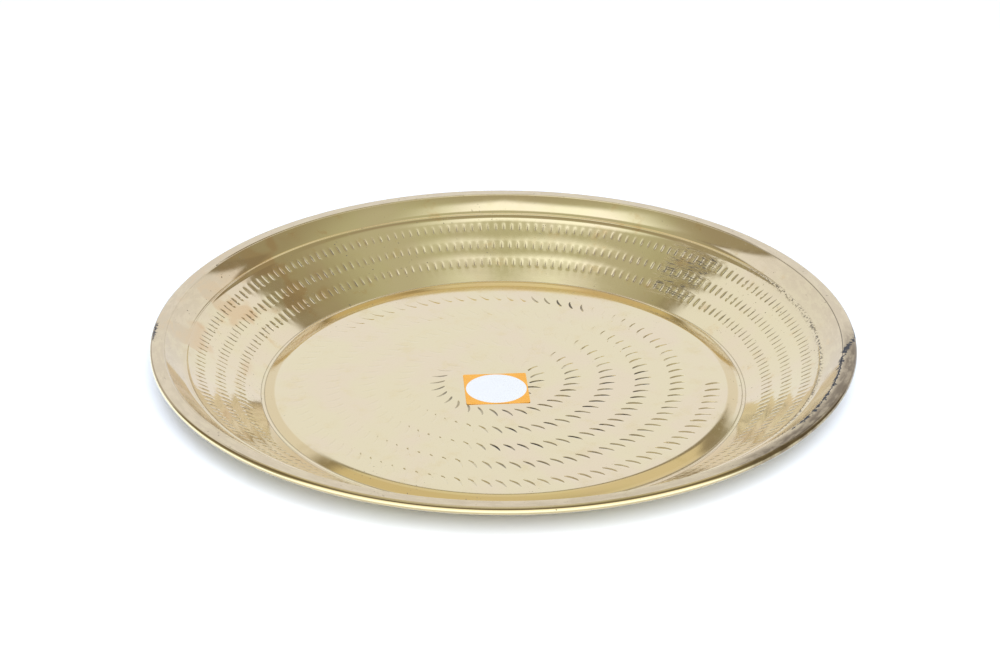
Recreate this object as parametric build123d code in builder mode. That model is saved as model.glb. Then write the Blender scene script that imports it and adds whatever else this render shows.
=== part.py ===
"""Spun brass tray with a raised flat centre, a scored wall and a rolled, wired rim.

The tray is one thin sheet of brass spun to shape, so its section is the same
all the way round the +Z axis.  The origin is the middle of the circle that the
tray stands on: the underside of the foot ring lies in the plane z = 0.
All sizes are in millimetres.
"""
from math import cos, radians, sin
import os

from build123d import *

# Driving dimensions.  Heights are measured from the bottom of the foot groove.
TRAY_DIAMETER = 280.0           # over the rolled rim
SHEET = 0.9                     # thickness of the brass sheet

DISC_RADIUS = 88.6              # where the flat centre starts to turn down
DISC_LIFT = 1.1                 # how far the flat centre stands above the foot groove
GROOVE_INNER_RADIUS = 92.8      # flat bottom of the foot groove, inner edge
GROOVE_OUTER_RADIUS = 97.0      # flat bottom of the foot groove, outer edge
WALL_TOP_RADIUS = 126.0         # where the wall meets the flared band
WALL_RISE = 17.9                # height of the wall's top
BAND_TOP_RADIUS = 134.3         # where the flared band meets the rim
BAND_RISE = 24.4                # height of the band's top
BAND_HOLLOW = 0.5               # how deep the flared band is coved between its edges
RIM_DOME = 0.35                 # how far the top of the roll stands above the band
GROOVE_BEND = 2.0               # bend radius of the groove, at the middle of the sheet

WIRE_DIAMETER = 2.4             # wire that the rim is rolled over
WIRE_CLEARANCE = 0.05           # room between the wire and the sheet
ROLL_TURN = 270.0               # how far the sheet turns round the wire, in degrees

LABEL_SIDE = 25.4               # square paper label
LABEL_CORNER = 0.8              # corner radius of the label
LABEL_THICKNESS = 0.15
LABEL_CENTRE = (-2.8, -4.5)     # where the label is stuck on the flat centre
LABEL_TURN = 4.0                # how far the label is turned, in degrees

# Sizes that follow from them.  The section is drawn along the middle of the sheet.
half_sheet = SHEET / 2
roll_radius = WIRE_DIAMETER / 2 + WIRE_CLEARANCE + half_sheet
roll_centre_radius = TRAY_DIAMETER / 2 - half_sheet - roll_radius
band_top = half_sheet + BAND_RISE
roll_centre_height = band_top + RIM_DOME - roll_radius
disc_top = SHEET + DISC_LIFT

os.makedirs("parts", exist_ok=True)


def roll_point(angle):
    """Point of the sheet's roll, with the angle from the outward direction in degrees."""
    turn = radians(angle)
    return (
        roll_centre_radius + roll_radius * cos(turn),
        roll_centre_height + roll_radius * sin(turn),
    )


# The pan: flat centre, foot groove, wall, flared band and rolled rim in one sheet
with BuildPart() as spun_pan:
    with BuildSketch(Plane.XZ) as pan_section:
        with BuildLine() as middle_of_sheet:
            FilletPolyline(
                (0, half_sheet + DISC_LIFT),
                (DISC_RADIUS, half_sheet + DISC_LIFT),
                (GROOVE_INNER_RADIUS, half_sheet),
                (GROOVE_OUTER_RADIUS, half_sheet),
                (WALL_TOP_RADIUS, half_sheet + WALL_RISE),
                radius=GROOVE_BEND,
            )
            SagittaArc(
                (WALL_TOP_RADIUS, half_sheet + WALL_RISE), (BAND_TOP_RADIUS, band_top), -BAND_HOLLOW
            )
            Line((BAND_TOP_RADIUS, band_top), roll_point(90))
            ThreePointArc(roll_point(90), roll_point(90 - ROLL_TURN / 2), roll_point(90 - ROLL_TURN))
        trace(line_width=SHEET)
        split(bisect_by=Plane.YZ, keep=Keep.TOP)
    revolve(axis=Axis.Z)

# The wire that the rim is rolled over
with BuildPart() as rim_wire:
    with BuildSketch(Plane.XZ) as wire_section:
        with Locations((roll_centre_radius, roll_centre_height)):
            Circle(WIRE_DIAMETER / 2)
    revolve(axis=Axis.Z)

# The square paper label stuck on the flat centre
label_place = Plane(origin=(*LABEL_CENTRE, disc_top)).rotated((0, 0, LABEL_TURN))
with BuildPart() as price_label:
    with BuildSketch(label_place):
        RectangleRounded(LABEL_SIDE, LABEL_SIDE, LABEL_CORNER)
    extrude(amount=LABEL_THICKNESS)

spun_pan.part.label = "spun_pan"
rim_wire.part.label = "rim_wire"
price_label.part.label = "price_label"

export_step(spun_pan.part, "parts/spun_pan.step")
export_step(rim_wire.part, "parts/rim_wire.step")
export_step(price_label.part, "parts/price_label.step")
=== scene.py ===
"""Looks of a spun brass tray: scored wall, punched centre, rolled rim and a paper label.

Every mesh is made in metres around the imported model, which stays the fixed frame.
Sizes are written in millimetres and turned into metres by the frame's own size.
"""
import logging
import math
from dataclasses import dataclass, field
from enum import Enum

import bmesh
import bpy
import numpy as np
from mathutils import Euler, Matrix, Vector
from mathutils.geometry import delaunay_2d_cdt


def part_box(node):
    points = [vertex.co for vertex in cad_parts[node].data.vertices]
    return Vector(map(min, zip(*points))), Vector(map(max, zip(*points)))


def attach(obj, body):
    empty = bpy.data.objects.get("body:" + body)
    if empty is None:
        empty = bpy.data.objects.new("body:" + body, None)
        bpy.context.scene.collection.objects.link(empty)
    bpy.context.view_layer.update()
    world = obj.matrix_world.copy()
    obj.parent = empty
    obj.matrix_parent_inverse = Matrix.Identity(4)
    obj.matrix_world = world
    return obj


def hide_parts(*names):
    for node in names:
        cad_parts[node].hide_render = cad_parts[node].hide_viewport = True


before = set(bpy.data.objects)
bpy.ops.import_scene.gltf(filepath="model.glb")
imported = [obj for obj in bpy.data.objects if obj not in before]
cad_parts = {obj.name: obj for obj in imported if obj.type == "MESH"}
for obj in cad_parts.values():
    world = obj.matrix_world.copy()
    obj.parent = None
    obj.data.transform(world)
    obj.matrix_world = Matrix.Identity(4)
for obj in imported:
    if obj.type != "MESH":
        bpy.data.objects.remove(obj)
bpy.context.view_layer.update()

LOG = logging.getLogger("brass_tray")
PAN_LOW, PAN_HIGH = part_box("spun_pan")
DRAWN_RADIUS = 140.0                       # rim radius that the sizes below are written for
MM = PAN_HIGH.x / DRAWN_RADIUS             # metres in one drawn millimetre
DEPTH_ATTRIBUTE = "mark_depth"             # 1 at the bottom of a tool mark, 0 on the sheet
Colour = tuple[float, float, float]
Limits = tuple[float, float, float]        # low limit, high limit and the width of the soft edges
Points = tuple[tuple[float, float], ...]   # radii and heights of a section, in order


class Slot(Enum):
    """Material slots of the record that the pieces take their finish from."""

    PAN = "pan_brass"
    WIRE = "wire_brass"
    LABEL = "label_paper"


# ---------------------------------------------------------------- node trees

class Value:
    """A socket that can be used in Python sums; each sum adds a Math node."""

    def __init__(self, tree: "Tree", socket: bpy.types.NodeSocket) -> None:
        """Wraps a socket.

        Args:
            tree: the tree that the socket is in.
            socket: the output that holds the value.
        """
        self.tree = tree
        self.socket = socket

    def _sum(self, operation: str, *values: object) -> "Value":
        """One Math node of the given operation."""
        return self.tree.add("ShaderNodeMath", *values, operation=operation)

    def __add__(self, other: object) -> "Value":
        """Sum."""
        return self._sum("ADD", self, other)

    def __radd__(self, other: object) -> "Value":
        """Sum with a number on the left."""
        return self._sum("ADD", other, self)

    def __sub__(self, other: object) -> "Value":
        """Difference."""
        return self._sum("SUBTRACT", self, other)

    def __rsub__(self, other: object) -> "Value":
        """Difference from a number on the left."""
        return self._sum("SUBTRACT", other, self)

    def __mul__(self, other: object) -> "Value":
        """Product."""
        return self._sum("MULTIPLY", self, other)

    def __rmul__(self, other: object) -> "Value":
        """Product with a number on the left."""
        return self._sum("MULTIPLY", other, self)

    def __truediv__(self, other: object) -> "Value":
        """Quotient."""
        return self._sum("DIVIDE", self, other)

    def __rtruediv__(self, other: object) -> "Value":
        """Quotient of a number on the left."""
        return self._sum("DIVIDE", other, self)

    def __pow__(self, power: object) -> "Value":
        """Power."""
        return self._sum("POWER", self, power)

    def __abs__(self) -> "Value":
        """Size without the sign."""
        return self._sum("ABSOLUTE", self)

    def larger(self, other: object) -> "Value":
        """The larger of this value and another."""
        return self._sum("MAXIMUM", self, other)

    def function(self, operation: str, *values: object) -> "Value":
        """A Math node's named function of this value.

        Args:
            operation: the Math node's operation, such as COSINE or MINIMUM.
            values: the other inputs, if the operation has them.

        Returns:
            The function's value.
        """
        return self._sum(operation, self, *values)

    def rise(self, low: float, high: float) -> "Value":
        """0 below low, 1 above high, smooth between; high may be the smaller one.

        Args:
            low: where the rise starts.
            high: where it ends.

        Returns:
            A value from 0 to 1.
        """
        settings = {"interpolation_type": "SMOOTHSTEP"}
        return self.tree.add("ShaderNodeMapRange", self, low, high, **settings)

    def near(self, centre: object, width: float) -> "Value":
        """A smooth bump of height 1 at centre, gone at width to either side.

        Args:
            centre: the middle of the bump.
            width: half of its whole width.

        Returns:
            A value from 0 to 1.
        """
        return abs(self - centre).rise(width, 0.0)

    def between(self, low: float, high: float, edge: float) -> "Value":
        """1 from low to high, and 0 outside, with soft edges.

        Args:
            low: lower limit.
            high: upper limit.
            edge: width of each soft edge, outside the limits.

        Returns:
            A value from 0 to 1.
        """
        return self.rise(low - edge, low) * self.rise(high + edge, high)


class Tree:
    """A node tree of any kind that nodes are added to."""

    def __init__(self, tree: bpy.types.NodeTree) -> None:
        """Wraps a tree.

        Args:
            tree: the tree that nodes go into.
        """
        self.tree = tree

    def add(self, kind: str, *values: object, output: object = 0, **settings: object) -> Value:
        """Adds one node.

        Args:
            kind: the node's type.
            values: what its first inputs are linked or set to; None leaves one alone.
            output: index or name of the output that is wanted.
            settings: the node's settings, and a dictionary named inputs for sockets
                that are given by name or index.

        Returns:
            The wanted output.
        """
        inputs = settings.pop("inputs", {})
        node = self.tree.nodes.new(kind)
        for name, setting in settings.items():
            setattr(node, name, setting)
        for key, value in [*enumerate(values), *inputs.items()]:
            self.feed(node.inputs[key], value)
        return Value(self, node.outputs[output])

    def feed(self, socket: bpy.types.NodeSocket, value: object) -> None:
        """Links or sets an input.

        Args:
            socket: the input.
            value: a Value to link, a plain value to set, or None to leave it.
        """
        if isinstance(value, Value):
            self.tree.links.new(value.socket, socket)
        elif value is not None:
            socket.default_value = value

    def vector(self, x: object = 0.0, y: object = 0.0, z: object = 0.0) -> Value:
        """A vector of three values."""
        return self.add("ShaderNodeCombineXYZ", x, y, z)

    def noise(self, place: Value, scale: float, detail: float = 2.0, roughness: float = 0.5) -> Value:
        """Noise from about 0 to 1.

        Args:
            place: the vector that it is read at.
            scale: how many features there are to one unit of that vector.
            detail: how many finer layers are added.
            roughness: how strong the finer layers are.

        Returns:
            The noise's value.
        """
        inputs = {"Vector": place, "Scale": scale, "Detail": detail, "Roughness": roughness}
        return self.add("ShaderNodeTexNoise", inputs=inputs)

    def blend(self, factor: object, first: object, second: object) -> Value:
        """A colour between two colours.

        Args:
            factor: 0 gives the first colour and 1 the second.
            first: a colour or a linked colour.
            second: a colour or a linked colour.

        Returns:
            The mixed colour.
        """
        inputs = {0: factor, 6: opaque(first), 7: opaque(second)}
        return self.add("ShaderNodeMix", output=2, data_type="RGBA", inputs=inputs)

    def split(self, vector: Value) -> tuple[Value, Value, Value]:
        """The x, y and z of a vector."""
        outputs = self.add("ShaderNodeSeparateXYZ", vector).socket.node.outputs
        return Value(self, outputs["X"]), Value(self, outputs["Y"]), Value(self, outputs["Z"])

    def dot(self, first: Value, second: object) -> Value:
        """The dot product of two vectors."""
        return self.add("ShaderNodeVectorMath", first, second, output="Value", operation="DOT_PRODUCT")

    def named(self, name: str, kind: str = "FLOAT") -> Value:
        """A named attribute of the geometry, in a Geometry Nodes tree."""
        return self.add("GeometryNodeInputNamedAttribute", data_type=kind, inputs={"Name": name})


def opaque(colour: object) -> object:
    """A plain three-part colour with its alpha added; a linked one as it is."""
    return colour if isinstance(colour, Value) else (*colour, 1.0)


def placed(name: str, data: bpy.types.ID) -> bpy.types.Object:
    """Makes an object at the origin and links it to the scene.

    Args:
        name: the object's name.
        data: its mesh, lamp or camera.

    Returns:
        The object.
    """
    piece = bpy.data.objects.new(name, data)
    bpy.context.scene.collection.objects.link(piece)
    return piece


@dataclass
class ShaderSheet:
    """A new material with a Principled surface, and the coordinates its patterns use."""

    name: str
    material: bpy.types.Material = field(init=False)
    tree: Tree = field(init=False)

    def __post_init__(self) -> None:
        """Makes the material and finds its shader."""
        self.material = bpy.data.materials.new(self.name)
        self.material.use_nodes = True
        self.tree = Tree(self.material.node_tree)
        self.shader = self.material.node_tree.nodes["Principled BSDF"]

    def place(self) -> tuple[Value, Value, Value, Value]:
        """Object coordinates in drawn millimetres.

        Returns:
            The whole vector, and its x, y and z.
        """
        raw = self.tree.add("ShaderNodeTexCoord", output="Object")
        scaled = self.tree.add("ShaderNodeVectorMath", raw, operation="SCALE", inputs={"Scale": 1 / MM})
        return (scaled, *self.tree.split(scaled))

    def surface(self, height: Value | None = None, **inputs: object) -> bpy.types.Material:
        """Sets the shader's sockets.

        Args:
            height: a height in millimetres for a Bump node, if there is one.
            inputs: the sockets' values, by name with _ for a space.

        Returns:
            The finished material.
        """
        for name, value in inputs.items():
            self.tree.feed(self.shader.inputs[name.replace("_", " ")], value)
        if height is not None:
            sockets = {"Height": height, "Strength": 1.0, "Distance": MM}
            bump = self.tree.add("ShaderNodeBump", inputs=sockets)
            self.tree.feed(self.shader.inputs["Normal"], bump)
        return self.material


# ------------------------------------------------------------------ finishes

@dataclass
class Spot:
    """Where a point of the pan is, in the measures that its finish asks for.

    The radius and the reach are in millimetres and the turn is in degrees. The reach is
    the distance along the sheet, which goes on growing where the rim turns down.
    """

    sheet: ShaderSheet
    rim_start: float = 134.0
    rim_end: float = 135.0
    lines_round: float = 40.0

    def __post_init__(self) -> None:
        """Adds the nodes that work the measures out."""
        self.tree = self.sheet.tree
        self.place, self.x, self.y, self.z = self.sheet.place()
        self.radius = (self.x * self.x + self.y * self.y) ** 0.5
        self.turn = self.y.function("ARCTAN2", self.x) * (180 / math.pi)
        drop = PAN_HIGH.z / MM - self.z
        self.reach = self.radius + self.radius.rise(self.rim_start, self.rim_end) * drop
        # x and y as shares of the radius; the 1 keeps the tray's axis from dividing by nothing
        self.rightward, self.backward = self.x / (self.radius + 1), self.y / (self.radius + 1)
        around = self.rightward * self.lines_round, self.backward * self.lines_round
        self.around = self.tree.vector(self.radius, *around)

    def noise(self, scale: float, detail: float = 2.0, roughness: float = 0.5) -> Value:
        """Noise at the spot, from about 0 to 1, with so many features to a millimetre."""
        return self.tree.noise(self.place, scale, detail, roughness)


@dataclass(frozen=True)
class Zone:
    """A stretch of the tray between two turns and between two radii, with soft edges."""

    turns: Limits
    radii: Limits

    def mask(self, spot: Spot) -> Value:
        """1 in the zone and 0 outside it."""
        return spot.turn.between(*self.turns) * spot.radius.between(*self.radii)


@dataclass(frozen=True)
class Wear:
    """Where the pan's finish and its painted shade change: low limit, high limit and soft edge of each
    stretch.

    Turns are in degrees, from the tray's right side round to its back. Radii and
    reaches are in millimetres.
    """

    stained_wall: Limits = (138, 178, 8)
    # turns on the right where the shoulder's painted reflection is full
    shoulder_reflection_turns: Limits = (-8, 25, 12)
    shaded_rim: Limits = (-44, -8, 14)
    dirty_step: Limits = (-32, 32, 8)
    dirty_crease: Limits = (-30, 42, 8)
    # turns where the disc's marks get painted shade
    shaded_disc_turns: Limits = (-88, 8, 20)
    back_blots: Limits = (66, 78, 6)
    behind_label: Limits = (38, 150, 12)
    back_wall: Limits = (58, 126, 14)
    left_wall: Limits = (128, 172, 10)
    right_wall: Limits = (-25, 55, 10)
    tarnished_rim: Limits = (-36, 1.5, 1.5)
    # radii of the shoulder's painted reflection
    shoulder: Limits = (91.2, 94.4, 0.9)
    whole_wall: Limits = (100, 133, 4)
    step_radius: float = 125.9
    crease_radius: float = 134.25
    groove_corners: tuple[tuple[float, float], ...] = ((95.62, 0.34), (97.0, 0.30))
    specked: tuple[Zone, ...] = (Zone((108, 126, 3), (108, 124, 2)), Zone((147, 151, 2), (128, 134, 2)),
                                 Zone((164, 173, 2), (103, 120, 2)))
    scratched: Zone = Zone((43, 52, 3), (104, 123, 3))
    tarnish_reach: float = 134.4
    tarnish_climb: float = 7.0
    left_tarnish_reach: float = 139.6


@dataclass(frozen=True)
class Brass:
    """Polished, spun brass that has been handled, with painted shade, highlights and reflections in its
    colour.
    """

    pale: Colour = (0.800, 0.682, 0.408)
    rosy: Colour = (0.805, 0.665, 0.425)
    warm: Colour = (0.790, 0.645, 0.350)
    stain: Colour = (0.72, 0.50, 0.26)
    handled: Colour = (0.67, 0.548, 0.345)
    # painted shade: the dark bands that the rolled edge mirrors
    painted_shade_band: Colour = (0.38, 0.285, 0.145)
    # painted shade on the rim's shaded right front
    painted_rim_shade: Colour = (0.22, 0.165, 0.095)
    # painted reflection colour for the shoulder slope
    painted_shoulder_reflection: Colour = (0.72, 0.565, 0.295)
    # painted highlight: the bright band that the rolled edge mirrors
    painted_highlight_band: Colour = (0.92, 0.80, 0.48)
    # dark colour for residue and for painted shade in the marks
    residue_and_shade: Colour = (0.034, 0.028, 0.026)
    tarnish: Colour = (0.018, 0.020, 0.026)
    roughness: float = 0.055
    wear: Wear = Wear()

    def pan(self) -> bpy.types.Material:
        """The pan's finish, with its spinning lines, stains, residue and tarnish, and painted shade,
        highlights and reflections.

        Returns:
            The material.
        """
        sheet = ShaderSheet(Slot.PAN.value)
        tree = sheet.tree
        spot = Spot(sheet)
        patches = spot.noise(0.11, 4.0, 0.6)
        colour = self.rubbed_rim_and_painted_light(spot, self.metal(spot, patches))
        strokes = tree.noise(tree.vector(spot.radius * 3.2, spot.x * 0.22, spot.y * 0.22), 1.0)
        strokes = strokes.rise(0.53, 0.60) * self.wear.scratched.mask(spot)
        dark = self.dirt_and_shade(spot, strokes)
        # residue, dirt and painted shade darken the metal
        colour = tree.blend(dark, colour, self.residue_and_shade)
        black = self.black_edge(spot)
        colour = tree.blend(black, colour, self.tarnish)

        lines = tree.noise(spot.around, 2.2, 3.0, 0.6)
        waves = spot.noise(0.12)
        scratches = tree.noise(tree.vector(spot.x * 0.9, spot.y * 0.12, spot.z * 0.12), 1.0, 3.0)
        height = lines * 0.0016 + waves * 0.008 + scratches * 0.0009 + strokes * -0.02
        roughness = self.roughness + 0.07 * patches.rise(0.45, 0.75) + 0.03 * lines
        roughness = roughness + 0.35 * black + 0.35 * dark
        metallic = 1.0 - 0.75 * black - 0.6 * dark
        return sheet.surface(height, Base_Color=colour, Metallic=metallic, Roughness=roughness)

    def metal(self, spot: Spot, patches: Value) -> Value:
        """The clean metal's colour, with its clouds and stains, and a darker, yellower painted reflection on
        the shoulder slope.

        Args:
            spot: the point's measures.
            patches: noise that is high where the metal is warmer.

        Returns:
            The colour.
        """
        tree, radius, wear = spot.tree, spot.radius, self.wear
        colour = tree.blend(spot.noise(0.035, 3.0).rise(0.42, 0.62), self.pale, self.rosy)
        colour = tree.blend(patches.rise(0.52, 0.75) * 0.6, colour, self.warm)
        stains = patches.rise(0.60, 0.72) * radius.between(*wear.whole_wall) * 0.45
        smears = spot.noise(0.06).rise(0.50, 0.60) * spot.turn.between(*wear.stained_wall)
        colour = tree.blend(stains + smears * radius.rise(100, 106) * 0.7, colour, self.stain)
        # painted reflection: the shoulder slope is made darker and yellower, fully on the left and on the
        # right, lightly elsewhere
        leftward = spot.rightward * -1.0
        reflection_sides = leftward.rise(-0.5, 0.3).larger(spot.turn.between(*wear.shoulder_reflection_turns))
        shoulder = (radius - leftward * 0.9).between(*wear.shoulder) * (0.35 + 0.55 * reflection_sides)
        return tree.blend(shoulder, colour, self.painted_shoulder_reflection)

    def rubbed_rim_and_painted_light(self, spot: Spot, colour: Value) -> Value:
        """Adds the rubbed rim, painted highlight and shade bands along its edge, and painted shade on its
        shaded side.

        Args:
            spot: the point's measures.
            colour: the colour so far.

        Returns:
            The colour with the wear, the painted bands and the painted shade on it.
        """
        tree, reach = spot.tree, spot.reach
        wear_and_shade_noise = tree.noise(spot.around, 0.5, 3.0, 0.65).rise(0.35, 0.6)
        sideways = abs(spot.backward).rise(0.80, 0.35)
        worn = (reach.rise(117, 134.5) * sideways).larger(reach.rise(133.7, 135.0))
        colour = tree.blend(worn * (0.55 + 0.45 * wear_and_shade_noise), colour, self.handled)
        # painted reflections on the rolled edge: dark, bright and dark bands that stand in for what the curl
        # mirrors
        painted_edge_bands = ((139.8, 0.9, self.painted_shade_band), (140.9, 1.0, self.painted_highlight_band), (142.1, 0.8, self.painted_shade_band))
        for start, strength, shade in painted_edge_bands:
            colour = tree.blend(reach.rise(start, start + 0.4) * strength, colour, shade)
        # painted shade on the rim's right front
        shaded = spot.turn.between(*self.wear.shaded_rim) * reach.rise(134.2, 137.5) * (0.65 + wear_and_shade_noise * 0.35)
        return tree.blend(shaded, colour, self.painted_rim_shade)

    def dirt_and_shade(self, spot: Spot, strokes: Value) -> Value:
        """How much dirt and painted shade there is: residue and painted shade in the marks, and dirt in the
        specks, step, crease and groove corners.

        Args:
            spot: the point's measures.
            strokes: the scratches that hold dirt too.

        Returns:
            A value from 0 to 1.
        """
        radius, turn, wear = spot.radius, spot.turn, self.wear
        specked = spot.noise(0.09, 1.0).rise(0.50, 0.62)
        for zone in wear.specked:
            specked = specked.larger(zone.mask(spot))
        specks = spot.noise(0.9).rise(0.68, 0.73) * specked * radius.rise(70, 100)
        step = radius.near(wear.step_radius, 1.5) * spot.noise(1.0).rise(0.50, 0.58)
        step = step * turn.between(*wear.dirty_step) * 0.85
        crease = radius.near(wear.crease_radius, 0.32) * (0.15 + 0.75 * turn.between(*wear.dirty_crease))
        inner, outer = (radius.near(corner, width) for corner, width in wear.groove_corners)
        dark = self.marks_residue_and_shade(spot)
        for mask in (specks * 0.85, step, crease, strokes * 0.9, inner.larger(outer) * 0.55):
            dark = dark.larger(mask)
        return dark

    def marks_residue_and_shade(self, spot: Spot) -> Value:
        """How much residue and painted shade the tool marks get, by where they are on the tray; the painted
        shade is heaviest on the disc's front right and on the left and right walls.

        Args:
            spot: the point's measures.

        Returns:
            A value from 0 to 1.
        """
        radius, turn, wear = spot.radius, spot.turn, self.wear
        depth = spot.tree.add("ShaderNodeAttribute", attribute_name=DEPTH_ATTRIBUTE, output="Fac")
        # painted shade in the disc's marks, heaviest on the front right
        front = turn.between(*wear.shaded_disc_turns) * (0.42 + 0.75 * radius.rise(78, 54))
        blots = turn.between(*wear.back_blots) * radius.rise(66, 70)
        beside_label = radius.rise(34, 26) * (1.0 - turn.between(*wear.behind_label))
        disc = (0.03 + front + 0.75 * beside_label + 0.9 * blots).function("MINIMUM", 1.0)
        on_wall = radius.rise(92, 96)
        sides = turn.between(*wear.left_wall).larger(turn.between(*wear.right_wall))
        # painted shade in the wall's marks, heavier on the left and right walls
        hold_and_shade = disc * radius.rise(92, 88) + on_wall * (0.40 + 0.45 * sides)
        filled_and_shaded = depth.rise(0.06, 0.45) * hold_and_shade * (0.70 + 0.30 * spot.noise(0.2, 1.0).rise(0.4, 0.6))
        ticks = turn.between(*wear.back_wall) * on_wall * 0.75
        return filled_and_shaded.larger(depth.rise(0.30, 0.75) * ticks)

    def black_edge(self, spot: Spot) -> Value:
        """How black the tarnish is: a ragged line on the right of the rim and a spot on the left.

        Args:
            spot: the point's measures.

        Returns:
            A value from 0 to 1.
        """
        reach, turn, wear = spot.reach, spot.turn, self.wear
        ragged = spot.noise(0.8, 3.0, 0.7) - 0.5
        path = wear.tarnish_reach + wear.tarnish_climb * turn.rise(-9, 1)
        along = turn.between(*wear.tarnished_rim) * spot.noise(0.35, 1.0).rise(0.32, 0.42)
        thick = 0.5 + 3.2 * (spot.noise(0.22, 1.0) - 0.45)
        black = (abs(reach - path + ragged * 5) - thick).rise(0.5, 0.0) * along
        left = abs(reach - wear.left_tarnish_reach + ragged * 6).rise(0.7, 0.4)
        return black.larger(left * abs(turn).rise(176.0, 177.5))

    def wire(self) -> bpy.types.Material:
        """The hidden wire's finish: drawn brass with lines along it.

        Returns:
            The material.
        """
        sheet = ShaderSheet(Slot.WIRE.value)
        tree = sheet.tree
        place, x, y, z = sheet.place()
        radius = (x * x + y * y) ** 0.5
        lines = tree.noise(tree.vector(radius * 4, z * 4, x * 0.02), 1.0, 3.0)
        colour = tree.blend(tree.noise(place, 0.08).rise(0.4, 0.7), self.warm, self.stain)
        return sheet.surface(lines * 0.01, Base_Color=colour, Metallic=1.0, Roughness=0.3 + 0.2 * lines)


@dataclass(frozen=True)
class Paper:
    """Printed sticker paper: a coloured square with a pale round field, left blank."""

    border: Colour = (0.56, 0.265, 0.030)
    field_colour: Colour = (0.53, 0.56, 0.62)
    border_light: Colour = (0.60, 0.33, 0.06)
    edge: Colour = (0.52, 0.50, 0.46)
    round_share: float = 0.955

    def label(self, side: float, centre: tuple[float, float], turn: float) -> bpy.types.Material:
        """The label's finish.

        Args:
            side: length of the label's side, in millimetres.
            centre: where its middle is.
            turn: how far it is turned, in degrees.

        Returns:
            The material.
        """
        sheet = ShaderSheet(Slot.LABEL.value)
        tree = sheet.tree
        place, x, y, _z = sheet.place()
        cosine, sine = math.cos(math.radians(turn)), math.sin(math.radians(turn))
        off_x, off_y = x - centre[0], y - centre[1]
        across = (off_x * cosine + off_y * sine) * (2 / side)
        upward = (off_y * cosine - off_x * sine) * (2 / side)
        fibres = tree.noise(place, 3.0, 4.0, 0.7)
        cloud = tree.noise(place, 0.25, 2.0)
        distance = (across * across + upward * upward) ** 0.5
        inside = distance.rise(self.round_share + 0.012, self.round_share - 0.012)
        border = tree.blend(cloud.rise(0.35, 0.7) * 0.35, self.border, self.border_light)
        colour = tree.blend(inside, border, self.field_colour)
        colour = tree.blend(fibres.rise(0.45, 0.75) * 0.08, colour, self.edge)
        return sheet.surface(fibres * 0.012, Base_Color=colour, Roughness=0.5 + 0.15 * fibres)


# ------------------------------------------------------------------- section

@dataclass(frozen=True)
class Section:
    """The upper side of the tray, cut through its axis, in drawn millimetres."""

    disc_height: float = 2.0
    sheet: float = 0.9
    flat_radius: float = 88.6
    shoulder_end: float = 91.2
    groove_inner: float = 95.7
    groove_outer: float = 96.9
    step_radius: float = 125.95
    step_height: float = 18.8
    step_ridge: float = 0.48
    step_width: float = 0.45
    crease_radius: float = 134.3
    crease_height: float = 25.1
    crease_depth: float = 0.25
    crease_width: float = 0.35
    band_hollow: float = 0.32
    crown_radius: float = 134.8
    crown_height: float = 25.07
    crown_fall: float = 0.02
    lip_radius: float = 140.0
    corner_height: float = 23.5
    corner_bend: float = 1.5
    curl_height: float = 23.5
    curl_bend: float = 1.8
    wire_radius: float = 137.85
    wire_height: float = 23.5
    wire_room: float = 1.25
    corner_angles: tuple[int, ...] = (88, 78, 68, 57, 46, 34, 22, 11, 0)
    curl_angles: tuple[int, ...] = (-20, -40, -60, -80, -105, -130, -155, -180)
    under_band: Points = ((135.6, 24.35), (134.85, 24.1), (133.4, 22.9), (131.6, 21.25), (129.4, 19.75),
                          (126.6, 18.1))
    under_wall: Points = ((119.0, 13.4), (108.0, 6.65), (98.2, 0.62))
    foot: Points = ((97.3, 0.15), (96.4, 0.0), (93.1, 0.0), (92.4, 0.12))
    under_disc: Points = ((89.6, 0.95), (87.6, 1.1), (60.0, 1.1), (25.0, 1.1))

    def heights(self, radius: np.ndarray) -> np.ndarray:
        """Height of the upper side.

        Args:
            radius: distances from the axis.

        Returns:
            The heights there.
        """
        middle = (self.flat_radius + self.shoulder_end) / 2
        fall = (self.disc_height - self.sheet) / (self.groove_inner - middle)
        bend = self.shoulder_end - self.flat_radius
        into = np.clip(radius - self.flat_radius, 0, bend)
        beyond = np.clip(radius - self.shoulder_end, 0, self.groove_inner - self.shoulder_end)
        floor = self.disc_height - fall * (into ** 2 / (2 * bend) + beyond)
        rise = (self.step_height - self.sheet) / (self.step_radius - self.groove_outer)
        wall = self.sheet + rise * (radius - self.groove_outer)
        share = (radius - self.step_radius) / (self.crease_radius - self.step_radius)
        band = self.step_height + (self.crease_height - self.step_height) * share
        band = band - 4 * self.band_hollow * share * (1 - share)
        rim = self.crown_height - self.crown_fall * np.abs(radius - self.crown_radius)
        zones = [radius < self.groove_outer, radius < self.step_radius, radius < self.crease_radius]
        height = np.select(zones, [floor, wall, band], rim)
        ridge = self.step_ridge * np.exp(-0.5 * ((radius - self.step_radius) / self.step_width) ** 2)
        crease = np.clip(1 - np.abs(radius - self.crease_radius) / self.crease_width, 0, 1)
        return height + ridge - self.crease_depth * crease

    def underside(self) -> list[tuple[float, float]]:
        """The rolled edge and the underside, from the rim's corner round to the axis.

        Returns:
            Radii and heights, in order.
        """
        bend, curl = self.corner_bend, self.curl_bend
        corner = (self.lip_radius - bend, self.corner_height)
        under = (self.lip_radius - curl, self.curl_height)
        wire = (self.wire_radius, self.wire_height)
        points = [self.arc_point(corner, angle, bend) for angle in self.corner_angles]
        points += [self.arc_point(under, angle, curl) for angle in self.curl_angles]
        points += [self.arc_point(wire, angle, self.wire_room) for angle in range(-170, 91, 26)]
        return [*points, *self.under_band, *self.under_wall, *self.foot, *self.under_disc]

    def arc_point(self, centre: tuple[float, float], degrees: float, radius: float) -> tuple[float, float]:
        """A point of the section at an angle and a radius from a centre."""
        angle = math.radians(degrees)
        return centre[0] + radius * math.cos(angle), centre[1] + radius * math.sin(angle)


# ------------------------------------------------------------------ tool marks

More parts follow.
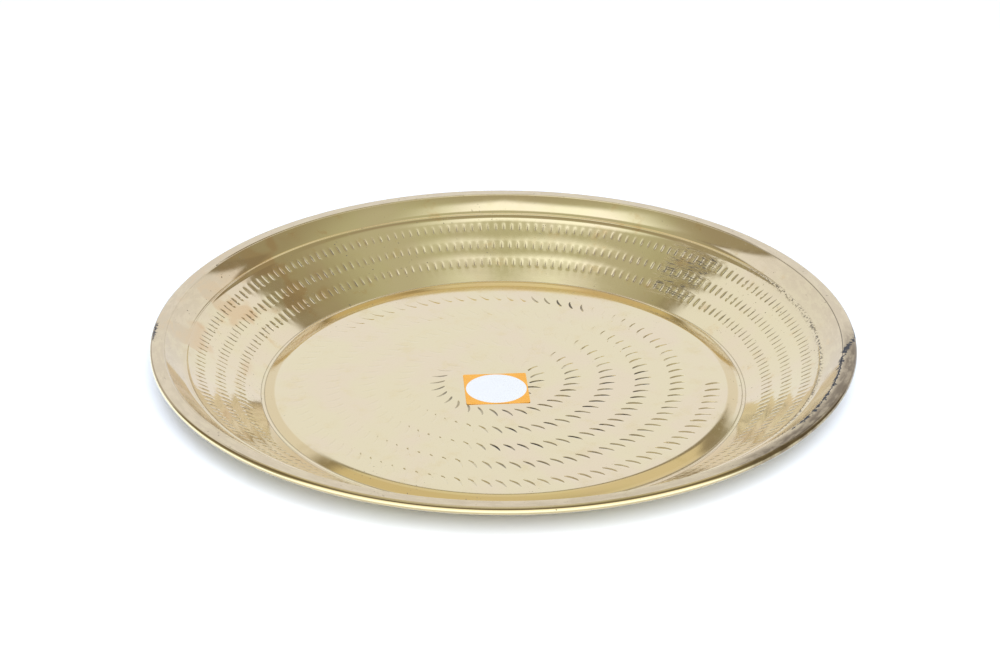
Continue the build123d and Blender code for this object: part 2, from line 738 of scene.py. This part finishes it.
@dataclass
class MarkPatch:
    """One tool mark with the flat metal round it, as a grid of points on a plane.

    The grid's x runs outwards from the tray's axis and its y runs round it, both in
    millimetres, and z is how far the metal is pressed in, as a negative height.
    """

    name: str
    points: np.ndarray
    loose: np.ndarray

    @property
    def shape(self) -> tuple[int, int]:
        """Rows and columns of the grid."""
        return self.points.shape[0], self.points.shape[1]

    def outline(self) -> list[int]:
        """Indices of the grid's border, in order round it.

        Returns:
            Indices into the flattened grid.
        """
        rows, columns = self.shape
        index = np.arange(rows * columns).reshape(rows, columns)
        sides = [index[0, :-1], index[:-1, -1], index[-1, :0:-1], index[:0:-1, 0]]
        return [int(i) for side in sides for i in side]

    def build(self) -> bpy.types.Object:
        """Makes the patch an object that a node tree can repeat.

        Returns:
            The object, with how deep and how loose each point is as attributes.
        """
        rows, columns = self.shape
        index = np.arange(rows * columns).reshape(rows, columns)
        corners = [index[:-1, :-1], index[1:, :-1], index[1:, 1:], index[:-1, 1:]]
        faces = np.stack([corner.ravel() for corner in corners], axis=1)
        mesh = bpy.data.meshes.new(self.name)
        mesh.from_pydata(self.points.reshape(-1, 3).tolist(), [], faces.tolist())
        depth = -self.points[:, :, 2].ravel()
        aside = self.points[:, :, 1] * self.loose
        values = {DEPTH_ATTRIBUTE: depth / depth.max(), "loose": self.loose.ravel(), "aside": aside.ravel()}
        for name, value in values.items():
            attribute = mesh.attributes.new(name, "FLOAT", "POINT")
            attribute.data.foreach_set("value", value.astype(np.float32))
        return placed(self.name, mesh)


@dataclass
class MarkTree:
    """A Geometry Nodes tree that repeats a patch, and its run on one patch."""

    name: str
    sizes: dict[str, float]
    tree: Tree = field(init=False)
    identifiers: dict[str, str] = field(init=False, default_factory=dict)

    def __post_init__(self) -> None:
        """Makes the tree and its named inputs."""
        group = bpy.data.node_groups.new(self.name, "GeometryNodeTree")
        self.tree = Tree(group)
        group.interface.new_socket("Geometry", in_out="OUTPUT", socket_type="NodeSocketGeometry")
        group.interface.new_socket("Patch", in_out="INPUT", socket_type="NodeSocketGeometry")
        for name, size in self.sizes.items():
            kind = "NodeSocketInt" if isinstance(size, int) else "NodeSocketFloat"
            socket = group.interface.new_socket(name, in_out="INPUT", socket_type=kind)
            self.identifiers[name] = socket.identifier
        socket = group.interface.new_socket("Finish", in_out="INPUT", socket_type="NodeSocketMaterial")
        self.identifiers["Finish"] = socket.identifier
        self.entry = group.nodes.new("NodeGroupInput")

    def size(self, name: str) -> Value:
        """The named input of the tree."""
        return Value(self.tree, self.entry.outputs[name])

    def scatter(self, points: Value, turn: object) -> tuple[Value, Value]:
        """Puts the patch on each point, with chance numbers for each copy.

        Args:
            points: the points' geometry.
            turn: the copies' turn about the tray's axis, or None.

        Returns:
            The realised geometry, and the three chance numbers from -1 to 1.
        """
        tree = self.tree
        inputs = {"Points": points, "Instance": self.size("Patch"), "Rotation": turn}
        copies = tree.add("GeometryNodeInstanceOnPoints", inputs=inputs)
        inputs = {0: (-1.0, -1.0, -1.0), 1: (1.0, 1.0, 1.0), "Seed": self.size("Seed")}
        chance = tree.add("FunctionNodeRandomValue", data_type="FLOAT_VECTOR", inputs=inputs)
        settings = {"data_type": "FLOAT_VECTOR", "domain": "INSTANCE"}
        inputs = {"Geometry": copies, "Name": "chance", "Value": chance}
        marked = tree.add("GeometryNodeStoreNamedAttribute", inputs=inputs, **settings)
        whole = tree.add("GeometryNodeRealizeInstances", marked)
        return whole, tree.named("chance", "FLOAT_VECTOR")

    def close(self, geometry: Value) -> None:
        """Sets the material and links the tree's output.

        Args:
            geometry: what the tree has made.
        """
        inputs = {"Geometry": geometry, "Material": self.size("Finish")}
        done = self.tree.add("GeometryNodeSetMaterial", inputs=inputs)
        exit_node = self.tree.tree.nodes.new("NodeGroupOutput")
        self.tree.feed(exit_node.inputs[0], done)

    def run(self, patch: MarkPatch, finish: bpy.types.Material) -> "Marks":
        """Runs the tree on a patch and takes the result as plain arrays.

        Args:
            patch: the patch to repeat.
            finish: the material set on the copies.

        Returns:
            The points, faces and depths of all the copies.
        """
        piece = patch.build()
        modifier = piece.modifiers.new(self.name, "NODES")
        modifier.node_group = self.tree.tree
        for name, size in self.sizes.items():
            modifier[self.identifiers[name]] = size
        modifier[self.identifiers["Finish"]] = finish
        graph = bpy.context.evaluated_depsgraph_get()
        mesh = bpy.data.meshes.new_from_object(piece.evaluated_get(graph))
        piece.modifiers.remove(modifier)
        result = Marks.read(mesh)
        source = piece.data
        bpy.data.objects.remove(piece)
        bpy.data.meshes.remove(source)
        bpy.data.meshes.remove(mesh)
        return result


@dataclass
class Marks:
    """Plain arrays of a repeated patch."""

    points: np.ndarray
    faces: list[tuple[int, ...]]
    depth: np.ndarray

    @classmethod
    def read(cls, mesh: bpy.types.Mesh) -> "Marks":
        """Reads a mesh.

        Args:
            mesh: the evaluated result of a tree.

        Returns:
            Its points, faces and depths.
        """
        points = np.empty(len(mesh.vertices) * 3)
        mesh.vertices.foreach_get("co", points)
        depth = np.empty(len(mesh.vertices))
        mesh.attributes[DEPTH_ATTRIBUTE].data.foreach_get("value", depth)
        return cls(points.reshape(-1, 3), [tuple(face.vertices) for face in mesh.polygons], depth)


@dataclass
class WallRow:
    """A ring of short scoops down the sloping wall, all cut with one narrow gouge."""

    radius: float
    count: int
    seed: int
    length: float = 3.25
    width: float = 0.85
    depth: float = 0.26
    half_height: float = 2.35
    sink: float = 0.055

    def patch(self) -> MarkPatch:
        """One scoop, in a cell as wide as the row's pitch.

        Returns:
            The patch.
        """
        pitch = 2 * math.pi * self.radius / self.count
        side = pitch / 2
        rows = self.length * np.array([-0.5, -0.42, -0.22, 0.06, 0.34, 0.5])
        x = np.concatenate([[-self.half_height], rows, [self.half_height]])
        across = np.array([-0.5, -0.08, 0.5]) * self.width
        y = np.array([-side, -0.62 * side, *across, 0.62 * side, side])
        grid_x, grid_y = np.meshgrid(x, y, indexing="ij")
        share = np.zeros((8, 7))
        share[2:6, 3] = [0.85, 1.0, 0.75, 0.40]
        sink = self.sink * np.exp(-((grid_y / (0.34 * pitch)) ** 2) - (grid_x / 1.9) ** 2)
        sink[0] = sink[-1] = 0
        sink[:, 0] = sink[:, -1] = 0
        loose = np.zeros((8, 7))
        loose[1:-1, 1:-1] = 1
        loose[:, 1] = loose[:, -2] = 0
        grid_z = -share * self.depth - sink
        return MarkPatch("scoop", np.stack([grid_x, grid_y, grid_z], axis=2), loose)

    def build(self, finish: bpy.types.Material) -> Marks:
        """Repeats the scoop round the wall.

        Args:
            finish: the pan's material.

        Returns:
            The row, laid out in plan.
        """
        sizes = {"Count": self.count, "Radius": self.radius, "Wander": 0.10, "Seed": self.seed}
        work = MarkTree("scoop_row", sizes)
        tree = work.tree
        pitch = work.size("Radius") * (2 * math.pi) / work.size("Count")
        inputs = {"Count": work.size("Count"), "Offset": tree.vector(0.0, pitch, 0.0)}
        line = tree.add("GeometryNodeMeshLine", inputs=inputs)
        whole, chance = work.scatter(line, None)
        x, y, z = tree.split(tree.add("GeometryNodeInputPosition"))
        luck_x, luck_y, luck_z = tree.split(chance)
        loose, aside = tree.named("loose"), tree.named("aside")
        sideways = (y / work.size("Radius")).function("COSINE") ** 2
        wander = loose * work.size("Wander")
        distance = work.size("Radius") + x * (1 + 0.3 * loose * sideways) + wander * luck_x * 2
        angle = (y - 0.35 * aside * sideways + wander * luck_y) / work.size("Radius")
        drop = z * (1 + luck_z * 0.3) * (0.38 + 0.62 * sideways)
        place = tree.vector(distance * angle.function("COSINE"), distance * angle.function("SINE"), drop)
        bent = tree.add("GeometryNodeSetPosition", inputs={"Geometry": whole, "Position": place})
        joined = tree.add("GeometryNodeMergeByDistance", inputs={"Geometry": bent, "Distance": 0.002})
        work.close(joined)
        return work.run(self.patch(), finish)

    def edges(self) -> tuple[float, float]:
        """The row's inner and outer radius."""
        return self.radius - self.half_height, self.radius + self.half_height


@dataclass
class PunchedSpiral:
    """Crescent punch marks that follow one spiral out over the disc."""

    centre: tuple[float, float] = (-2.95, 2.48)
    start_radius: float = 14.07
    end_radius: float = 87.1
    first_turn: float = -60.0
    turns: float = 5.1639
    spacing: float = 5.4
    reach: float = 3.35
    margin: float = 0.35
    lean: float = 0.9
    bow: float = 0.75
    width: float = 1.4
    depth: float = 0.30
    heavy_turn: float = -45.0
    swing: float = 20.0

    def patch(self) -> MarkPatch:
        """One crescent, with the flat metal round it in a convex outline.

        Returns:
            The patch.
        """
        along = np.array([-1.0, -0.86, -0.55, -0.1, 0.4, 0.8, 1.0])
        taper = np.array([0.0, 0.80, 1.0, 0.95, 0.78, 0.55, 0.0])
        depths = np.array([0.0, 0.9, 1.0, 0.92, 0.75, 0.48, 0.0])
        middle = self.lean * along - self.bow * along ** 2
        across = np.array([-0.62, -0.12, 0.16, 0.38])
        shares = np.array([0.0, 0.75, 1.0, 0.0])
        points = np.zeros((9, 6, 3))
        width = np.maximum(taper, 0.22)[:, None] * self.width
        points[1:-1, 1:-1, 0] = (self.reach * along)[:, None]
        points[1:-1, 1:-1, 1] = middle[:, None] + width * across[None, :]
        points[1:-1, 1:-1, 2] = -self.depth * depths[:, None] * shares[None, :]
        end = self.reach + self.margin
        points[-1, :, 0] = end + 0.12 * np.array([0, 0.6, 0.9, 1.0, 0.7, 0])
        points[0, :, 0] = -points[-1, :, 0]
        border = np.array([-2.29, -1.6, -1.0, -0.4, 0.2, 0.91])
        points[0, :, 1] = points[-1, :, 1] = border
        points[1:-1, 0, 0] = points[1:-1, -1, 0] = self.reach * along
        bulge = 0.14 * (1 - (along * self.reach / end) ** 2)
        points[1:-1, 0, 1] = border[0] - bulge
        points[1:-1, -1, 1] = border[-1] + bulge
        return MarkPatch("crescent", points, np.zeros((9, 6)))

    def heavy_side(self) -> tuple[float, float]:
        """The direction of the deepest marks, before the spiral gets its first turn."""
        angle = math.radians(self.heavy_turn - self.first_turn)
        return math.cos(angle), math.sin(angle)

    def build(self, finish: bpy.types.Material) -> Marks:
        """Repeats the crescent along the spiral.

        Args:
            finish: the pan's material.

        Returns:
            The marks, laid out in plan, patch after patch.
        """
        sizes = {"Turns": self.turns, "Start Radius": self.start_radius, "End Radius": self.end_radius}
        sizes |= {"Spacing": self.spacing, "First Turn": math.radians(self.first_turn)}
        sizes |= {"Swing": math.radians(self.swing)}
        sizes |= {"Centre X": self.centre[0], "Centre Y": self.centre[1], "Seed": 11}
        work = MarkTree("punched_spiral", sizes)
        tree = work.tree
        inputs = {"Resolution": 96, "Rotations": work.size("Turns"), "Height": 0.0, "Reverse": True}
        inputs |= {"Start Radius": work.size("Start Radius"), "End Radius": work.size("End Radius")}
        spiral = tree.add("GeometryNodeCurveSpiral", inputs=inputs)
        inputs = {"Curve": spiral, "Length": work.size("Spacing")}
        even = tree.add("GeometryNodeResampleCurve", mode="LENGTH", inputs=inputs)
        x, y, _z = tree.split(tree.add("GeometryNodeInputPosition"))
        turn = y.function("ARCTAN2", x)
        inputs = {2: -0.04, 3: 0.04, "Seed": work.size("Seed")}
        wobble = tree.add("FunctionNodeRandomValue", output=1, data_type="FLOAT", inputs=inputs)
        far = (x ** 2 + y ** 2) ** 0.5
        across = (turn + work.size("First Turn")).function("SINE") ** 2
        swing = work.size("Swing") * across * far.rise(20, 32)
        whole, chance = work.scatter(even, tree.vector(0.0, 0.0, turn + wobble + swing))
        x, y, z = tree.split(tree.add("GeometryNodeInputPosition"))
        luck = tree.split(chance)[2]
        lean = tree.dot(tree.vector(x, y), tree.vector(*self.heavy_side(), 0.0))
        weight = (0.26 + 0.74 * lean / ((x * x + y * y) ** 0.5)).larger(0.13)
        drop = z * weight * (1 + luck * 0.25)
        place = tree.vector(x, y, drop)
        pressed = tree.add("GeometryNodeSetPosition", inputs={"Geometry": whole, "Position": place})
        inputs = {"Geometry": pressed, "Rotation": tree.vector(0.0, 0.0, work.size("First Turn"))}
        inputs["Translation"] = tree.vector(work.size("Centre X"), work.size("Centre Y"), 0.0)
        work.close(tree.add("GeometryNodeTransform", inputs=inputs))
        return work.run(self.patch(), finish)


# ----------------------------------------------------------------------- pan

class Shell:
    """A mesh under construction: rings of points stitched to each other."""

    def __init__(self) -> None:
        """Starts with nothing."""
        self.points: list[tuple[float, float, float]] = []
        self.depth: list[float] = []
        self.faces: list[tuple[int, ...]] = []

    def place(self, points: np.ndarray, depth: np.ndarray | None = None) -> list[int]:
        """Adds points.

        Args:
            points: an array of positions.
            depth: the mark depth at each, or None for plain metal.

        Returns:
            Their indices.
        """
        first = len(self.points)
        self.points += [tuple(point) for point in points.tolist()]
        self.depth += [0.0] * len(points) if depth is None else depth.tolist()
        return list(range(first, len(self.points)))

    def ring(self, radius: float, height: float, count: int) -> list[int]:
        """Adds a ring of evenly spaced points.

        Args:
            radius: the ring's radius.
            height: its height.
            count: how many points it has.

        Returns:
            Their indices.
        """
        turn = np.arange(count) * (2 * math.pi / count)
        flat = [radius * np.cos(turn), radius * np.sin(turn), np.full(count, height)]
        return self.place(np.stack(flat, axis=1))

    def turns(self, ring: list[int]) -> list[float]:
        """Angles of a ring's points, from 0 to a full turn."""
        return [math.atan2(self.points[i][1], self.points[i][0]) % (2 * math.pi) for i in ring]

    def stitch(self, inner: list[int], outer: list[int]) -> None:
        """Joins two rings, with quads where their points are in line.

        Args:
            inner: the first ring's indices.
            outer: the second ring's indices.
        """
        full = 2 * math.pi
        rings = []
        for ring in (inner, outer):
            pairs = sorted(((turn + 1e-4) % full, i) for turn, i in zip(self.turns(ring), ring))
            rings.append([*pairs, (pairs[0][0] + full, pairs[0][1])])
        near, far = rings
        i = j = 0
        while i < len(near) - 1 or j < len(far) - 1:
            next_near = near[i + 1][0] if i < len(near) - 1 else 2 * full
            next_far = far[j + 1][0] if j < len(far) - 1 else 2 * full
            if abs(next_near - next_far) < 1e-5:
                self.faces.append((near[i][1], far[j][1], far[j + 1][1], near[i + 1][1]))
                i, j = i + 1, j + 1
            elif next_near < next_far:
                self.faces.append((near[i][1], far[j][1], near[i + 1][1]))
                i += 1
            else:
                self.faces.append((near[i][1], far[j][1], far[j + 1][1]))
                j += 1

    def mesh(self, name: str) -> bpy.types.Mesh:
        """Makes the mesh, in metres, with its faces pointing outwards.

        Args:
            name: the mesh's name.

        Returns:
            The mesh.
        """
        mesh = bpy.data.meshes.new(name)
        mesh.from_pydata((np.array(self.points) * MM).tolist(), [], self.faces)
        attribute = mesh.attributes.new(DEPTH_ATTRIBUTE, "FLOAT", "POINT")
        attribute.data.foreach_set("value", np.array(self.depth, np.float32))
        build = bmesh.new()
        build.from_mesh(mesh)
        bmesh.ops.recalc_face_normals(build, faces=build.faces[:])
        build.to_mesh(mesh)
        build.free()
        mesh.shade_smooth()
        return mesh


@dataclass
class SpunPan:
    """The whole spun sheet: disc, groove, wall, step, band, rolled rim and underside."""

    section: Section = field(default_factory=Section)
    spiral: PunchedSpiral = field(default_factory=PunchedSpiral)
    rows: tuple[WallRow, ...] = (WallRow(105.2, 193, 3), WallRow(112.8, 207, 5), WallRow(120.7, 220, 7))
    segments: int = 540
    under_segments: int = 270
    fine_rings: int = 18
    pillow: float = 0.04
    smooth_limit: float = 24.0
    groove_radii: tuple[float, ...] = (89.3, 90.2, 91.2, 93.4, 95.3, 95.7, 96.9, 97.3, 99.8)
    step_radii: tuple[float, ...] = (124.5, 125.1, 125.4, 125.65, 125.9, 126.15, 126.4, 126.7, 127.15)
    band_radii: tuple[float, ...] = (128.4, 129.8, 131.2, 132.5, 133.5)
    rim_radii: tuple[float, ...] = (133.95, 134.12, 134.3, 134.48, 134.7, 135.4, 136.6, 137.9, 138.4)

    def disc(self, shell: Shell, finish: bpy.types.Material) -> list[int]:
        """Adds the punched disc.

        Args:
            shell: the mesh that it goes into.
            finish: the pan's material.

        Returns:
            The indices of the ring round it.
        """
        marks = self.spiral.build(finish)
        patch = self.spiral.patch()
        rows, columns = patch.shape
        size = rows * columns
        count = len(marks.points) // size
        points = marks.points.copy()
        points[:, 2] += self.section.disc_height
        own = shell.place(points, marks.depth)
        shell.faces += [tuple(own[i] for i in face) for face in marks.faces]
        rim = shell.ring(self.section.flat_radius, self.section.disc_height, self.segments)
        loops = [[own[k * size + i] for i in patch.outline()] for k in range(count)]
        owner = {i: k for k, loop in enumerate(loops) for i in loop}
        used = [i for loop in [*loops, rim] for i in loop]
        number = {i: n for n, i in enumerate(used)}
        edges = []
        for loop in [*loops, rim]:
            edges += [(number[a], number[b]) for a, b in zip(loop, [*loop[1:], loop[0]])]
        flat = [Vector(shell.points[i][:2]) for i in used]
        result = delaunay_2d_cdt(flat, edges, [], 0, 1e-5)
        source = [used[min(originals)] for originals in result[3]]
        for face in result[2]:
            corners = tuple(source[i] for i in face)
            owners = {owner.get(i, -1 - i) for i in corners}
            if len(owners) > 1:
                shell.faces.append(corners)
        LOG.info("punched spiral: %d crescents", count)
        return rim

    def build(self, finish: bpy.types.Material) -> bpy.types.Object:
        """Builds the pan as one closed mesh.

        Args:
            finish: the pan's material.

        Returns:
            The finished piece, riding on its body.
        """
        shell = Shell()
        last = self.disc(shell, finish)
        last = self.rings(shell, last, self.groove_radii)
        for number, row in enumerate(self.rows):
            marks = row.build(finish)
            points = marks.points.copy()
            radius = np.hypot(points[:, 0], points[:, 1])
            points[:, 2] += self.section.heights(radius)
            own = shell.place(points, marks.depth)
            shell.faces += [tuple(own[i] for i in face) for face in marks.faces]
            inner, outer = row.edges()
            shell.stitch(last, [own[i] for i in np.flatnonzero(np.abs(radius - inner) < 0.02)])
            last = [own[i] for i in np.flatnonzero(np.abs(radius - outer) < 0.02)]
            if number < len(self.rows) - 1:
                middle = (outer + self.rows[number + 1].edges()[0]) / 2
                last = self.rings(shell, last, (middle,), self.pillow)
            LOG.info("wall row at %.1f mm: %d scoops", row.radius, row.count)
        last = self.rings(shell, last, (*self.step_radii, *self.band_radii, *self.rim_radii))
        for number, (radius, height) in enumerate(self.section.underside()):
            count = self.segments if number < self.fine_rings else self.under_segments
            ring = shell.ring(radius, height, count)
            shell.stitch(last, ring)
            last = ring
        axis = shell.place(np.array([[0.0, 0.0, self.section.disc_height - self.section.sheet]]))[0]
        shell.faces += [(a, b, axis) for a, b in zip(last, [*last[1:], last[0]])]
        mesh = shell.mesh("tray_pan")
        mesh.set_sharp_from_angle(angle=math.radians(self.smooth_limit))
        mesh.materials.append(finish)
        piece = placed("tray_pan", mesh)
        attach(piece, "root")
        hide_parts("spun_pan")
        mesh.calc_loop_triangles()
        LOG.info("tray_pan: %d triangles", len(mesh.loop_triangles))
        return piece

    def rings(self, shell: Shell, last: list[int], radii: tuple[float, ...], lift: float = 0.0) -> list[int]:
        """Adds rings on the upper side, each stitched to the one before.

        Args:
            shell: the mesh that they go into.
            last: the ring to start from.
            radii: the new rings' radii, outwards.
            lift: how far they stand over the section.

        Returns:
            The last ring.
        """
        for radius, height in zip(radii, self.section.heights(np.array(radii)).tolist()):
            ring = shell.ring(radius, height + lift, self.segments)
            shell.stitch(last, ring)
            last = ring
        return last


@dataclass
class RimWire:
    """The wire inside the rolled rim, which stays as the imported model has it."""

    def dress(self, finish: bpy.types.Material) -> None:
        """Puts the wire's finish in its material slots.

        Args:
            finish: the wire's material.
        """
        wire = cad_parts["rim_wire"]
        for slot in wire.material_slots:
            slot.material = finish
        LOG.info("rim_wire: dressed")


@dataclass
class PriceLabel:
    """A square paper sticker on the disc, with one edge a little lifted."""

    side: float = 25.4
    centre: tuple[float, float] = (-2.8, -4.5)
    turn: float = 4.0
    thickness: float = 0.12
    corner: float = 0.8
    steps: int = 28
    gap: float = 0.03
    lift: float = 0.35
    edge_lift: float = 0.10
    ripple: float = 0.02

    def outline_point(self, u: float, v: float) -> tuple[float, float]:
        """A point of the square with its corners rounded.

        Args:
            u: share of the way across, from -1 to 1.
            v: share of the way up, from -1 to 1.

        Returns:
            The point's x and y from the label's middle.
        """
        half = self.side / 2
        x, y = u * half, v * half
        core = half - self.corner
        over_x, over_y = (abs(x) - core) / self.corner, (abs(y) - core) / self.corner
        if over_x > 0 and over_y > 0:
            x = math.copysign(core + self.corner * over_x * math.sqrt(1 - over_y ** 2 / 2), x)
            y = math.copysign(core + self.corner * over_y * math.sqrt(1 - over_x ** 2 / 2), y)
        return x, y

    def build(self, finish: bpy.types.Material, base: float) -> bpy.types.Object:
        """Builds the label as a closed sheet.

        Args:
            finish: the paper's material.
            base: height of the disc that it is stuck to.

        Returns:
            The finished piece.
        """
        shares = np.sin(np.linspace(-1, 1, self.steps + 1) * math.pi / 2)
        cosine, sine = math.cos(math.radians(self.turn)), math.sin(math.radians(self.turn))
        build = bmesh.new()
        sheets = []
        for level in (0.0, self.thickness):
            sheet = []
            for v in shares:
                row = []
                for u in shares:
                    x, y = self.outline_point(float(u), float(v))
                    curl = self.lift * max(0.0, abs(float(u * v)) - 0.55) ** 2
                    curl += self.edge_lift * max(0.0, float(u) - 0.9)
                    ripple = self.ripple * math.sin(x * 0.5 + 1.0) * math.sin(y * 0.4)
                    across = self.centre[0] + x * cosine - y * sine
                    upward = self.centre[1] + x * sine + y * cosine
                    place = Vector((across, upward, base + self.gap + level + curl + ripple))
                    row.append(build.verts.new(place * MM))
                sheet.append(row)
            sheets.append(sheet)
        last = self.steps
        for sheet in sheets:
            for j in range(last):
                for i in range(last):
                    build.faces.new((sheet[j][i], sheet[j][i + 1], sheet[j + 1][i + 1], sheet[j + 1][i]))
        path = [(0, i) for i in range(last)] + [(j, last) for j in range(last)]
        path += [(last, i) for i in range(last, 0, -1)] + [(j, 0) for j in range(last, 0, -1)]
        for (j, i), (n, m) in zip(path, [*path[1:], path[0]]):
            build.faces.new((sheets[0][j][i], sheets[0][n][m], sheets[1][n][m], sheets[1][j][i]))
        bmesh.ops.recalc_face_normals(build, faces=build.faces[:])
        if build.calc_volume(signed=True) < 0:
            bmesh.ops.reverse_faces(build, faces=build.faces[:])
        mesh = bpy.data.meshes.new("paper_label")
        build.to_mesh(mesh)
        build.free()
        mesh.shade_smooth()
        mesh.set_sharp_from_angle(angle=math.radians(40))
        mesh.materials.append(finish)
        piece = placed("paper_label", mesh)
        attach(piece, "root")
        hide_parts("price_label")
        LOG.info("paper_label: %.1f mm square", self.side)
        return piece


# -------------------------------------------------------------------- studio

@dataclass
class Studio:
    """The pale floor, the room that the brass mirrors, the soft lights and the camera."""

    floor_radius: float = 2.6
    backdrop: Colour = (0.96, 1.01, 1.18)
    room: Colour = (0.56, 0.575, 0.46)
    dusk: Colour = (0.40, 0.37, 0.28)
    glow: Colour = (0.82, 0.77, 0.60)
    frame_edge: Colour = (0.34, 0.31, 0.24)
    lamp: Colour = (1.28, 1.38, 1.50)
    front_panel: Colour = (1.15, 1.15, 1.10)
    floor_colour: Colour = (0.74, 0.80, 0.92)
    backdrop_top: float = 34.0
    backdrop_slope: float = 0.33
    backdrop_corner: float = 41.2
    backdrop_left: float = -59.0
    backdrop_right: float = 49.5
    back_lamp_height: float = 60.0
    back_lamp_edges: tuple[float, float] = (9.0, 5.0)
    front_lamp: tuple[float, float, float] = (0.1, -2.15, 1.7)
    front_lamp_side: float = 0.9
    front_lamp_power: float = 132.0
    eye_back: float = 1065.97
    eye_height: float = 560.89
    pitch: float = 26.7116
    yaw: float = -0.0745
    roll: float = 0.0859
    lens: float = 108.0

    def room_light(self) -> None:
        """Builds the world: a bright backdrop behind, a dim room, two lamps and a front panel."""
        world = bpy.data.worlds.new("studio_room")
        bpy.context.scene.world = world
        world.use_nodes = True
        tree = Tree(world.node_tree)
        background = world.node_tree.nodes["Background"]
        raw = tree.add("ShaderNodeTexCoord", output="Generated")
        x, y, z = tree.split(raw)
        degrees = 180 / math.pi
        height = z.function("ARCSINE") * degrees
        side = x.function("ARCTAN2", y) * degrees
        slant = self.backdrop_top - self.backdrop_slope * side
        top = slant + (self.backdrop_corner - slant) * side.rise(14, 24)
        outside = (height - top).larger(side - self.backdrop_right).larger(self.backdrop_left - side)
        facing = height.rise(50, 68) * (0.30 + 0.70 * y.rise(-0.35, -0.05))
        colour = tree.blend(facing, self.dusk, self.room)
        colour = tree.blend(outside.rise(24, 16) * side.between(-30, 28, 12), colour, self.glow)
        border = 3.0 + 3.5 * side.rise(0, 12)
        colour = tree.blend((outside - border).rise(1.0, -1.0), colour, self.frame_edge)
        colour = tree.blend(outside.rise(1.5, -1.5), colour, self.backdrop)
        bent = y - 0.35 * abs(x)
        overhead = x.rise(-0.55, -0.28) * x.rise(0.35, 0.02)
        overhead = overhead * bent.rise(0.03, -0.05) * bent.rise(-0.26, -0.18)
        colour = tree.blend(overhead * z.rise(0.5, 0.6), colour, self.lamp)
        climb = math.radians(self.back_lamp_height)
        outer, inner = (math.cos(math.radians(angle)) for angle in self.back_lamp_edges)
        share = tree.dot(raw, Vector((0.0, math.cos(climb), math.sin(climb))))
        colour = tree.blend(share.rise(outer, inner) * 0.7, colour, self.lamp)
        before = y.rise(-0.30, -0.50) * z.between(-0.1, 0.56, 0.08)
        colour = tree.blend(before, colour, self.front_panel)
        tree.feed(background.inputs["Color"], colour)

    def floor(self) -> None:
        """Lays the floor that the tray stands on."""
        build = bmesh.new()
        bmesh.ops.create_circle(build, cap_ends=True, segments=96, radius=self.floor_radius)
        mesh = bpy.data.meshes.new("studio_floor")
        build.to_mesh(mesh)
        build.free()
        sheet = ShaderSheet("studio_floor")
        mesh.materials.append(sheet.surface(Base_Color=opaque(self.floor_colour), Roughness=0.6))
        piece = placed("studio_floor", mesh)

    def front_light(self) -> None:
        """Hangs a soft square lamp that shines at the tray and doesn't show in the brass."""
        light = bpy.data.lights.new("soft_front", "AREA")
        light.size = self.front_lamp_side
        light.energy = self.front_lamp_power
        lamp = placed("soft_front", light)
        lamp.location = self.front_lamp
        lamp.rotation_euler = (-Vector(self.front_lamp)).to_track_quat("-Z", "Y").to_euler()
        lamp.visible_glossy = False
        lamp.visible_camera = False

    def camera(self) -> None:
        """Sets up the camera."""
        data = bpy.data.cameras.new("view")
        data.lens = self.lens
        data.sensor_width = 36.0
        camera = placed("view", data)
        camera.location = (0.0, -self.eye_back * MM, self.eye_height * MM)
        level = Euler((math.radians(90 - self.pitch), 0.0, math.radians(-self.yaw)), "XYZ").to_quaternion()
        spin = Euler((0.0, 0.0, math.radians(self.roll))).to_quaternion()
        camera.rotation_euler = (level @ spin).to_euler()
        bpy.context.scene.camera = camera

    def build(self) -> None:
        """Sets up the whole studio."""
        self.camera()
        self.room_light()
        self.floor()
        self.front_light()
        settings = bpy.context.scene.view_settings
        settings.view_transform = "Standard"
        settings.look = "None"
        LOG.info("studio: camera, room, floor and lamp")


def main() -> None:
    """Builds the pieces in order and reports each."""
    logging.basicConfig(level=logging.INFO, format="%(name)s: %(message)s")
    Studio().build()
    brass = Brass()
    pan = SpunPan()
    pan.build(brass.pan())
    RimWire().dress(brass.wire())
    label = PriceLabel()
    label.build(Paper().label(label.side, label.centre, label.turn), pan.section.disc_height)


if __name__ == "__main__":
    main()
